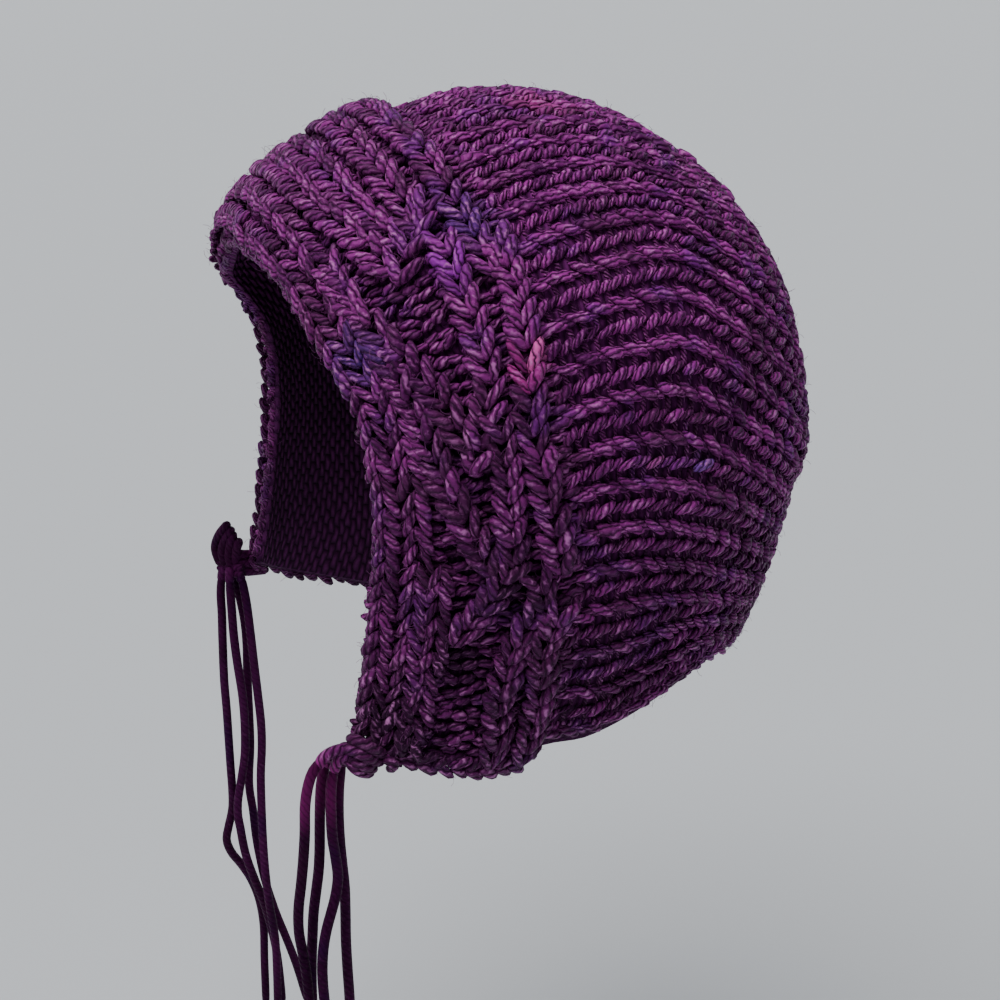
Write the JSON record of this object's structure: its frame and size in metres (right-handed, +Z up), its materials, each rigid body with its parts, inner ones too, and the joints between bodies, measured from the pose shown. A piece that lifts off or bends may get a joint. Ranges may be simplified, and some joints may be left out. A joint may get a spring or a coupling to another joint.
{
  "type": "knit bonnet",
  "caption": "Hand-knit newborn bonnet in its worn form: a braided band frames the face, a ribbed stockinette crown closes at the back, and yarn ties hang from the front corners.",
  "frame": {"origin": "inside of the crown's top, where it rests on the top of a head", "axes": "+Z up along the head, the face opening towards -Y, the wearer's left towards +X"},
  "size_m": [0.1136, 0.1122, 0.2157],
  "materials": {
    "band_knit": "plied wool, soft sheen",
    "crown_knit": "plied wool, soft sheen",
    "tie_yarn": "plied wool, soft sheen"
  },
  "bodies": {
    "root": {"front_band": "band_knit", "crown_body": "crown_knit", "tie_knot_left": "tie_yarn", "tie_knot_right": "tie_yarn", "tie_left_1": "tie_yarn", "tie_left_2": "tie_yarn", "tie_left_3": "tie_yarn", "tie_left_4": "tie_yarn", "tie_right_1": "tie_yarn", "tie_right_2": "tie_yarn", "tie_right_3": "tie_yarn", "tie_right_4": "tie_yarn"}
  },
  "joints": []
}
